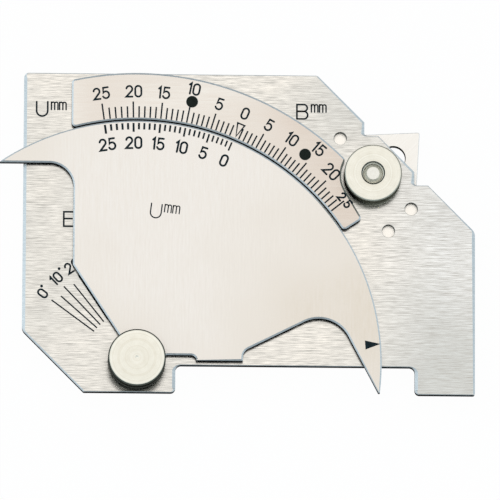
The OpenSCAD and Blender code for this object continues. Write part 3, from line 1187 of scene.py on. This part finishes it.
SLIDE_FACE = BrushedSteel(
    "slide_ground", light=(0.93, 0.895, 0.845), dark=(0.80, 0.76, 0.70), stain=(0.89, 0.845, 0.785),
    grain=Grain.ALONG_SLIDE, length=5.0, width=0.3, contrast=2.2, roughness=0.34)
# Painted shade and reflection: the front bevels get a darker, cooler grey than the faces, standing in for
# the dim, cool light that they reflect
BEVEL_SHADE = BrushedSteel(
    "bevel_painted_shade", light=(0.76, 0.77, 0.77), dark=(0.56, 0.58, 0.59), stain=(0.71, 0.725, 0.73),
    grain=Grain.ALONG_X, length=0.7, width=0.4, contrast=3.0, roughness=0.28)
RIVET_END = BrushedSteel(
    "rivet_end", light=(1.0, 0.95, 0.88), dark=(0.88, 0.82, 0.74), stain=(0.97, 0.91, 0.82),
    grain=Grain.ALONG_X, length=1.5, width=0.25, contrast=1.4, roughness=0.34)
# Painted shade: the plates' walls and back edges are near black, standing in for the shade on the sides and
# under the edges
PLATE_WALL_SHADE = CutEdge("plate_wall_painted_shade", (0.022, 0.028, 0.029), (0.006, 0.008, 0.008), roughness=0.42, glance=0.02)
# Painted shade: the hole walls are darker than the faces and dark at a flat angle, standing in for the shade
# inside the holes
HOLE_WALL_SHADE = CutEdge("hole_wall_painted_shade", (0.55, 0.53, 0.49), (0.32, 0.31, 0.29), roughness=0.36, glance=0.15)
# Painted shade: the knob's side and underside, and the nut recess's lip, are near black, standing in for the
# shade on them
KNOB_SIDE_SHADE = CutEdge("knob_side_painted_shade", (0.13, 0.14, 0.12), (0.03, 0.034, 0.027), roughness=0.34)
# Painted shade: the nut's knurled side is dark for its shade, and its lighter flecks are painted glints
KNURL_SIDE_SHADE = CutEdge("knurl_side_painted_shade", (0.52, 0.51, 0.43), (0.09, 0.09, 0.07), roughness=0.26)
PIN_BLACK = DarkCoat("pin_black", (0.018, 0.024, 0.018), (0.003, 0.006, 0.004), lump=0.25)
MARK_PAINT = DarkCoat("mark_paint", (0.012, 0.028, 0.036), (0.003, 0.009, 0.012), lump=0.5)
AT_PIVOT, AT_STUD = tuple(PIVOT.tolist()), tuple(STUD.tolist())
KNOB_FACE = TurnedMetal("knob_turned", (0.91, 0.88, 0.785), (0.68, 0.635, 0.53), AT_PIVOT, pitch=0.7)
NUT_FACE = TurnedMetal("nut_turned", (0.92, 0.89, 0.795), (0.68, 0.635, 0.53), AT_STUD, pitch=0.5)
# Painted light: the recess floor is lighter than the nut's face, to make up for the shade inside the recess
RECESS = TurnedMetal("nut_recess", (0.97, 0.955, 0.87), (0.44, 0.44, 0.39), AT_STUD, pitch=0.45)
STEEL_AT_PIVOT = TurnedMetal("pivot_steel", (0.76, 0.75, 0.72), (0.55, 0.54, 0.51), AT_PIVOT)
STEEL_AT_STUD = TurnedMetal("stud_steel", (0.87, 0.845, 0.78), (0.68, 0.655, 0.59), AT_STUD)
TABLE_TOP = PaleFloor("pale_table", (0.95, 0.95, 0.95), glow=0.97)


def put_on(node: str, finish: Finish) -> None:
    """Give a node of the frame its one finish.

    Args:
        node: The node.
        finish: Its finish.
    """
    materials = frame["nodes"][node].data.materials
    materials.clear()
    materials.append(material_of(finish))
    log.info("%s: finish %s", node, finish.name)


def dress(node: str, finish: Finish, edge: float) -> None:
    """Give a node of the frame its finish and broken edges.

    Args:
        node: The node.
        finish: Its finish.
        edge: Width of the broken edges.
    """
    put_on(node, finish)
    thing = frame["nodes"][node]
    weld = thing.modifiers.new("weld", "WELD")
    weld.merge_threshold = MERGE_GAP
    bevel = thing.modifiers.new("broken_edges", "BEVEL")
    bevel.width = edge * MM
    bevel.segments = BEVEL_STEPS
    bevel.limit_method = "ANGLE"
    bevel.angle_limit = BEVEL_ANGLE


def ring_piece(node: str, axis: np.ndarray, body: str, finish: Finish) -> None:
    """Stand a turned ring with broken edges for a washer of the frame.

    Args:
        node: The washer's node.
        axis: Where its axis stands.
        body: Body that it moves with.
        finish: Its finish.
    """
    low, high = levels(node)
    hole, rim = radii(node, axis, high)[[0, -1]]
    cut = WASHER_EDGE * (high - low)
    corners = np.array([[hole, low, cut, 0], [rim, low, cut, 0], [rim, high, cut, 0], [hole, high, cut, 0]])
    ring = turned(blended(corners), axis, WASHER_SEGMENTS, closed=True)
    ring.piece(node + "_turned", body, "turned_steel", [finish], (node,))


@dataclass
class MarkedPlate:
    """A worn plate of the frame with painted marks on its front."""

    node: str
    body: str
    slot: str
    face: BrushedSteel
    edge: float
    lean: float = 0.0
    level: float = 0.0

    @property
    def inlay(self) -> Inlay:
        """The paint at the level of the plate's front."""
        return Inlay(levels(self.node)[1])

    def inlays(self) -> dict[str, Surface]:
        """The marks, by the names of their pieces."""
        raise NotImplementedError

    def build(self) -> None:
        """Make the plate and its inlays."""
        skin = PlateSkin(self.node, self.edge, self.lean, self.level).surface()
        # Painted shade: the bevel, wall and hole finishes are darker than the face, for the shade on those
        # parts
        finishes = [self.face, BEVEL_SHADE, PLATE_WALL_SHADE, HOLE_WALL_SHADE]
        skin.piece(self.node + "_worn", self.body, self.slot, finishes, (self.node,))
        for name, marks in self.inlays().items():
            marks.piece(name, self.body, "blackened_steel", [MARK_PAINT])


@dataclass
class BasePlate(MarkedPlate):
    """The brushed base plate with its legends and its angle scale."""

    node: str = "base_plate"
    body: str = "base"
    slot: str = "base_steel"
    face: BrushedSteel = BASE_FACE
    edge: float = 0.7
    level: float = -0.8
    line_width: float = 0.3
    angle_zero: float = 143.65
    angle_step: float = 5.0
    angle_last: float = 50.0
    lines_from: float = 11.0
    lines_to: float = 21.1
    long_line: float = 1.0
    figure_ring: float = 24.4
    figure_height: float = 2.1
    figure_stroke: float = 0.4
    degree_dot: float = 0.6
    dot_half: float = 0.01
    degree_lift: float = 1.1
    degree_aside: float = 1.1
    second_figure: float = 0.75
    legend: Legend = Legend(
        letters=(("U", (-20.08, 53.65)), ("B", (34.32, 53.6)), ("E", (-14.4, 30.28))),
        units=((-16.62, 54.32), (37.75, 54.34)),
        letter_height=3.05, letter_stroke=0.37, unit_height=1.58, unit_stroke=0.31)

    def inlays(self) -> dict[str, Surface]:
        """The angle scale and the legends, by the names of their pieces."""
        return {"angle_scale": self.angle_scale(), "base_legends": self.legend.inlaid(self.inlay)}

    def angle_scale(self) -> Surface:
        """Lines from the pivot every 5 degrees, with a figure and a degree dot at every 10.

        Returns:
            The inlaid lines and figures.
        """
        marks = np.arange(0, self.angle_last + 1, self.angle_step)
        turns = self.angle_zero - marks
        tens = marks % (2 * self.angle_step) == 0
        outer = self.lines_to + np.where(tens, self.long_line, 0.0)
        starts, ends = from_pivot(turns, self.lines_from), from_pivot(turns, outer)
        parts = [self.inlay.bars(starts, ends, self.line_width)]
        figures = Lettering(self.inlay, self.figure_height, self.figure_stroke)
        for mark, turn in zip(marks[tens], turns[tens]):
            text = f"{mark:.0f}"
            aside = self.degree_aside + self.second_figure * (len(text) - 1)
            dot = from_pivot(turn, self.figure_ring + self.degree_lift) + heading(turn - 90) * aside
            half = heading(turn) * self.dot_half
            parts.append(figures.on_ring(text, turn, self.figure_ring))
            parts.append(self.inlay.ribbon(np.stack([dot - half, dot + half]), self.degree_dot))
        return Surface.joined(parts)


@dataclass
class SwingPlate(MarkedPlate):
    """The satin swing plate with its height scale, index and legend."""

    node: str = "swing_plate"
    body: str = "swing"
    slot: str = "satin_steel"
    face: BrushedSteel = SWING_FACE
    edge: float = 0.31
    lean: float = 0.13
    outer: float = 50.5
    short_tick: float = 1.38
    long_tick: float = 1.9
    thin: float = 0.36
    bold: float = 0.47
    figure_ring: float = 46.3
    figure_height: float = 2.3
    figure_stroke: float = 0.43
    index_angle: float = 4.65
    index_gap: float = 0.05
    index_length: float = 3.25
    index_half: float = 0.95
    legend: Legend = Legend(
        letters=(("U", (3.82, 31.85)),), units=((7.2, 32.25),),
        letter_height=2.95, letter_stroke=0.27, unit_height=1.6, unit_stroke=0.25, turn=-7.0)

    def inlays(self) -> dict[str, Surface]:
        """The height scale, the index and the legend, by the names of their pieces."""
        legend = self.legend.inlaid(self.inlay)
        return {"swing_scale": self.scale(), "swing_index": self.index(), "swing_legend": legend}

    def scale(self) -> Surface:
        """Marks by the measuring law, bolder towards the far end, with figures under every fifth.

        Returns:
            The inlaid marks and figures.
        """
        turns = LAW.left_of_zero(HEIGHTS)
        inner = self.outer - np.where(HEIGHTS % STEP == 0, self.long_tick, self.short_tick)
        width = np.interp(HEIGHTS, [0, SPAN], [self.thin, self.bold])
        parts = [self.inlay.bars(from_pivot(turns, inner), from_pivot(turns, self.outer), width)]
        figures = Lettering(self.inlay, self.figure_height, self.figure_stroke)
        for height, turn in zip(HEIGHTS[::STEP], turns[::STEP]):
            parts.append(figures.on_ring(str(height), turn, self.figure_ring))
        return Surface.joined(parts)

    def index(self) -> Surface:
        """The filled arrowhead that points at the rim.

        Returns:
            The inlaid arrowhead.
        """
        tip = from_pivot(self.index_angle, RIM - self.index_gap)
        foot = tip - heading(self.index_angle) * self.index_length
        side = heading(self.index_angle + 90) * self.index_half
        return self.inlay.blade(np.stack([tip, foot + side, foot - side]))


@dataclass
class ScalePlate(MarkedPlate):
    """The curved scale plate with its double scale, and the two pins that hold it."""

    node: str = "scale_plate"
    body: str = "base"
    slot: str = "scale_steel"
    face: BrushedSteel = SCALE_FACE
    edge: float = 0.34
    lean: float = -0.1
    inner: float = 51.68
    short_tick: float = 2.4
    long_tick: float = 3.4
    line_width: float = 0.33
    zero_aside: float = -0.3
    zero_gap: float = 0.35
    zero_half: float = 0.8
    zero_height: float = 2.8
    figure_stroke: float = 0.4
    figure_ring: float = 57.25
    figure_height: float = 2.28
    pin_lift: float = 1.75
    left_lifted: int = 10
    left_aside: float = -0.15
    right_lifted: int = 15
    right_aside: float = -0.1
    crowded: int = 20
    crowded_aside: float = 0.6
    end_height: float = 1.7
    end_ring: float = 55.3
    end_space: float = 0.62
    pin_edge: float = 0.12

    def build(self) -> None:
        """Make the plate and its inlays, and dress the pins."""
        super().build()
        dress("scale_pins", PIN_BLACK, self.pin_edge)

    def inlays(self) -> dict[str, Surface]:
        """The marks and the figures, by the names of their pieces."""
        return {"scale_marks": self.marks(), "scale_figures": self.figures()}

    def marks(self) -> Surface:
        """Marks to both sides of the open arrowhead that stands at zero.

        Returns:
            The inlaid marks.
        """
        heights = np.tile(HEIGHTS[1:], 2)
        turns = np.concatenate([LAW.left_of_zero(HEIGHTS[1:]), LAW.right_of_zero(HEIGHTS[1:])])
        outer = self.inner + np.where(heights % STEP == 0, self.long_tick, self.short_tick)
        bars = self.inlay.bars(from_pivot(turns, self.inner), from_pivot(turns, outer), self.line_width)
        zero = LAW.zero + self.zero_aside
        tip = from_pivot(zero, self.inner + self.zero_gap)
        head = tip + heading(zero) * self.zero_height
        side = heading(zero + 90) * self.zero_half
        arrow = np.stack([tip, head - side, head + side])
        return Surface.joined([bars, self.inlay.ribbon(arrow, self.line_width, closed=True)])

    def figures(self) -> Surface:
        """Figures over every fifth mark, further out where a pin is in the way and small at the right end.

        Returns:
            The inlaid figures.
        """
        letters = Lettering(self.inlay, self.figure_height, self.figure_stroke)
        parts = []
        for height, turn in zip(HEIGHTS[::STEP], LAW.left_of_zero(HEIGHTS[::STEP])):
            ring = self.figure_ring + (self.pin_lift if height == self.left_lifted else 0.0)
            parts.append(letters.on_ring(str(height), turn, ring, self.left_aside))
        for height, turn in zip(HEIGHTS[STEP:-1:STEP], LAW.right_of_zero(HEIGHTS[STEP:-1:STEP])):
            ring = self.figure_ring + (self.pin_lift if height == self.right_lifted else 0.0)
            aside = self.crowded_aside if height == self.crowded else self.right_aside
            parts.append(letters.on_ring(str(height), turn, ring, aside))
        last = LAW.right_of_zero(HEIGHTS[-1:])[0]
        small = Lettering(self.inlay, self.end_height, self.figure_stroke, self.end_space)
        return Surface.joined(parts + [small.on_ring(str(SPAN), last, self.end_ring)])


@dataclass
class PivotKnob:
    """The plain turned knob on the pivot, its washer and the bush that the swing plate turns on."""

    rim_cut: float = 0.32
    groove_drop: float = 0.25
    groove_width: float = 0.5
    groove_lift: float = 1.45
    mark_slope: float = 0.4
    shank_round: float = 0.2
    foot_round: float = 0.08
    lip_round: float = 0.04
    groove_round: float = 0.1
    shoulder_round: float = 0.1
    face_round: float = 0.06
    mark_round: float = 0.05
    segments: int = 160

    def build(self) -> None:
        """Make the knob and the washer, and dress the bush."""
        # Painted shade: the knob's underside and side wear the near-black side finish
        finishes = [KNOB_FACE, KNOB_SIDE_SHADE]
        self.knob().piece("pivot_knob_turned", "pivot_knob", "knob_metal", finishes, ("pivot_screw",))
        ring_piece("pivot_washer", PIVOT, "pivot_knob", STEEL_AT_PIVOT)
        put_on("pivot_bush", STEEL_AT_PIVOT)

    def knob(self) -> Surface:
        """The knob with its shank, a groove round its side and a centre mark in its face.

        Returns:
            The knob, with finish 0 on its face and its shank, and 1 on its underside and its side.
        """
        low, high = levels("pivot_screw")
        under = levels("pivot_washer")[1]
        shank = radii("pivot_screw", PIVOT, low)[-1]
        mark = radii("pivot_screw", PIVOT, high)[0]
        rim, cut = reach_of("pivot_screw", PIVOT), self.rim_cut
        groove, lip = under + self.groove_lift, self.groove_width / 2
        profile = blended(np.array([
            [0, low, 0, 0],
            [shank, low, self.shank_round, 0],
            [shank, under, 0, 1],
            [rim - cut, under, self.foot_round, 1],
            [rim, under + cut, self.foot_round, 1],
            [rim, groove - lip, self.lip_round, 1],
            [rim - self.groove_drop, groove, self.groove_round, 1],
            [rim, groove + lip, self.lip_round, 1],
            [rim, high - cut, self.shoulder_round, 1],
            [rim - cut, high, self.face_round, 0],
            [mark, high, self.mark_round, 0],
            [0, high - self.mark_slope * mark, 0, 0],
        ]))
        return turned(profile, PIVOT, self.segments, closed=False)


@dataclass
class ThumbNut:
    """The knurled thumb nut, its washer and the clamp stud."""

    rim_cut: float = 0.26
    lip: float = 0.25
    floor_gap: float = 0.1
    foot_round: float = 0.1
    side_round: float = 0.08
    face_round: float = 0.06
    lip_round: float = 0.04
    floor_round: float = 0.05
    bore_round: float = 0.2
    ridges: int = 64
    knurl_depth: float = 0.2
    knurl_angle: float = 32.0
    knurl_fade: float = 12.0
    columns: int = 384
    rows: int = 33

    def build(self) -> None:
        """Make the nut and the washer, and dress the stud."""
        # Painted shade on the knurled side and the recess's lip, and painted light on the recess floor
        finishes = [NUT_FACE, KNURL_SIDE_SHADE, KNOB_SIDE_SHADE, RECESS]
        self.nut().piece("thumb_nut_knurled", "thumb_nut", "knob_metal", finishes, ("clamp_nut",))
        ring_piece("clamp_washer", STUD, "base", STEEL_AT_STUD)
        put_on("clamp_stud", STEEL_AT_STUD)

    def profile(self) -> np.ndarray:
        """Section of the nut before its side is knurled.

        Returns:
            Rows of radius, height and finish number: 0 on the face, 1 under it and on the side, 2 on the
            recess's lip and 3 inside it.
        """
        low, high = levels("clamp_nut")
        heights = node_points("clamp_nut")[:, 2]
        rim, cut = reach_of("clamp_nut", STUD), self.rim_cut
        bore, recess = radii("clamp_nut", STUD, low)[0], radii("clamp_nut", STUD, high)[0]
        inside = (heights > (low + high) / 2) & (heights < high - cut - self.floor_gap)
        floor = heights[inside].min()
        return blended(np.array([
            [bore, low, self.foot_round, 1],
            [rim - cut, low, self.side_round, 1],
            [rim, low + cut, self.side_round, 1],
            [rim, high - cut, self.side_round, 1],
            [rim - cut, high, self.face_round, 0],
            [recess, high, self.lip_round, 2],
            [recess - self.lip, high - self.lip, self.lip_round, 3],
            [recess - self.lip, floor, self.floor_round, 3],
            [bore, floor, self.bore_round, 3],
        ]))

    def nut(self) -> Surface:
        """The nut's turned ring, with crossing grooves round its side.

        The side is the profile's longest rise. Two sets of straight-sided waves cross there at the knurl's
        angle, and the higher of the two cuts the metal away, so that small pyramids stand between the
        grooves. The grooves run out towards both ends of the side.

        Returns:
            The nut, with the profile's finish numbers.
        """
        profile = self.profile()
        rim = profile[:, 0].max()
        at = int(np.argmax(np.diff(profile[:, 1])))
        share = np.linspace(0, 1, self.rows)[1:-1, None]
        band = profile[at] + share * (profile[at + 1] - profile[at]) * [1, 1, 0]
        surface = turned(np.insert(profile, at + 1, band, axis=0), STUD, self.columns, closed=True)
        turn = np.arange(self.columns)[None] / self.columns
        lead = band[:, 1:2] * math.tan(math.radians(self.knurl_angle)) / (2 * math.pi * rim)
        waves = [np.abs(((turn + way * lead) * self.ridges) % 1 * 2 - 1) for way in (-1, 1)]
        fade = np.clip(np.minimum(share, 1 - share) * self.knurl_fade, 0, 1)
        drop = self.knurl_depth * np.maximum(*waves) * fade
        rows = slice((at + 1) * self.columns, (at + 1 + len(band)) * self.columns)
        surface.points[rows, :2] -= (drop[..., None] * heading(turn[0] * 360)).reshape(-1, 2)
        return surface


@dataclass
class ThroatSlide:
    """The pointed slide behind the base plate, its two rails and their rivets."""

    edge: float = 0.08
    hole_edge: float = 0.12
    rail_edge: float = 0.15
    rivet_edge: float = 0.08

    def build(self) -> None:
        """Make the slide, and dress the rails and the rivets."""
        skin = PlateSkin("throat_slide", self.edge, hole_edge=self.hole_edge).surface()
        # Painted shade: the slide's wall, back edge and holes wear the near-black wall finish
        finishes = [SLIDE_FACE, BEVEL_SHADE, PLATE_WALL_SHADE, PLATE_WALL_SHADE]
        skin.piece("throat_slide_worn", "slide", "slide_steel", finishes, ("throat_slide",))
        dress("guide_rail_upper", BASE_FACE, self.rail_edge)
        dress("guide_rail_lower", BASE_FACE, self.rail_edge)
        dress("rail_rivets", RIVET_END, self.rivet_edge)


@dataclass
class Studio:
    """A pale table, a soft sky and a lamp, and the camera at the photograph's angle.

    The fields that start with rim, low and field shape the sky, as its method says.
    """

    back: Triple = (-0.02622, -0.18313, 0.98274)
    roll: float = 0.56
    aim: Triple = (2.814, -3.405, 4.373)
    distance: float = 2040.0
    lens: float = 704.0
    clip: Pair = (10.0, 100_000.0)
    table_half: float = 3000.0
    sky_top: Colour = (1.0, 1.0, 1.0)
    sky_rim: Colour = (0.86, 1.0, 1.08)
    field_way: Triple = (0.026, 0.42, 0.907)
    field_edge: Pair = (0.70, 0.92)
    field_level: float = 1.165
    rim_level: float = 0.83
    rim_right: float = -0.12
    rim_top: float = 0.17
    rim_ends: float = -0.62
    rim_corners: float = 0.8
    low_edge: Pair = (0.3, 0.55)
    low_top: Pair = (0.1, 0.6)
    low_level: float = 0.9
    lamp_place: Triple = (-500.0, 250.0, 250.0)
    lamp_size: float = 500.0
    lamp_power: float = 0.1

    def build(self) -> None:
        """Make the camera, the table, the sky and the lamp."""
        self.camera()
        self.floor()
        self.sky()
        self.lamp()
        bpy.context.scene.view_settings.view_transform = "Standard"

    def camera(self) -> None:
        """Aim a long lens along the photograph's line of sight, with +X level apart from a small roll."""
        back = Vector(self.back).normalized()
        right = Vector((1, 0, 0)) - back * back.x
        right = Matrix.Rotation(math.radians(self.roll), 3, back) @ right.normalized()
        axes = Matrix((right, back.cross(right), back)).transposed()
        data = bpy.data.cameras.new("photo_camera")
        data.lens = self.lens
        data.clip_start, data.clip_end = (reach * MM for reach in self.clip)
        made = new_object("photo_camera", data)
        place = (Vector(self.aim) + back * self.distance) * MM
        made.matrix_world = Matrix.Translation(place) @ axes.to_4x4()
        bpy.context.scene.camera = made

    def floor(self) -> None:
        """Lay a large pale table under the gauge."""
        reach = self.table_half * MM
        mesh = bpy.data.meshes.new("table")
        corners = [(-reach, -reach, 0), (reach, -reach, 0), (reach, reach, 0), (-reach, reach, 0)]
        mesh.from_pydata(corners, [], [(0, 1, 2, 3)])
        mesh.materials.append(material_of(TABLE_TOP))
        made = new_object("table", mesh)

    def sky(self) -> None:
        """A bright field where the plates mirror it to the camera, in a cooler and darker sky.

        The field leans from the way that a level mirror throws the line of sight towards the top edge, so
        that raised pieces shade what lies below them. Towards (x, y, z) the rest has the level rim_level +
        rim_right x + rim_top y + rim_ends y^2 + rim_corners x^2 y^2. It is darkest over the feet and then
        over the top edge, where the plates' edges stand out as dark lines, and it goes over to low_level
        near the ground in front and at the sides.
        """
        world = bpy.data.worlds.new("studio_sky")
        world.use_nodes = True
        bpy.context.scene.world = world
        shader = Shader(world.node_tree)
        way = shader.out(shader.node("ShaderNodeTexCoord"), "Generated")
        split = shader.node("ShaderNodeSeparateXYZ", None, {0: way})
        x, y, z = (shader.out(split, key) for key in "XYZ")
        field_share = shader.along(way, self.field_way).step_between(*self.field_edge)
        rim = self.rim_level + self.rim_right * x + self.rim_top * y + self.rim_ends * y * y
        rim = rim + self.rim_corners * x * x * y * y
        low = (1 - z.step_between(*self.low_edge)) * (1 - y.step_between(*self.low_top))
        rim = rim + (self.low_level - rim) * low
        level = rim + (self.field_level - rim) * field_share
        tone = shader.mix(field_share, self.sky_rim, self.sky_top)
        sky = shader.node("ShaderNodeBackground", None, {"Color": tone, "Strength": level})
        shader.finish(sky, "ShaderNodeOutputWorld")

    def lamp(self) -> None:
        """Hang a square soft lamp that looks at the middle of the gauge."""
        data = bpy.data.lights.new("edge_light", "AREA")
        data.size = self.lamp_size * MM
        data.energy = self.lamp_power
        made = new_object("edge_light", data)
        made.location = Vector(self.lamp_place) * MM
        made.rotation_euler = made.location.to_track_quat("Z", "Y").to_euler()


def main() -> None:
    """Build the studio and the gauge's sub-assemblies in order."""
    logging.basicConfig(level=logging.INFO, format="%(name)s: %(message)s")
    for part in (Studio(), BasePlate(), SwingPlate(), ScalePlate(), PivotKnob(), ThumbNut(), ThroatSlide()):
        log.info("building %s", type(part).__name__)
        part.build()


if __name__ == "__main__":
    main()
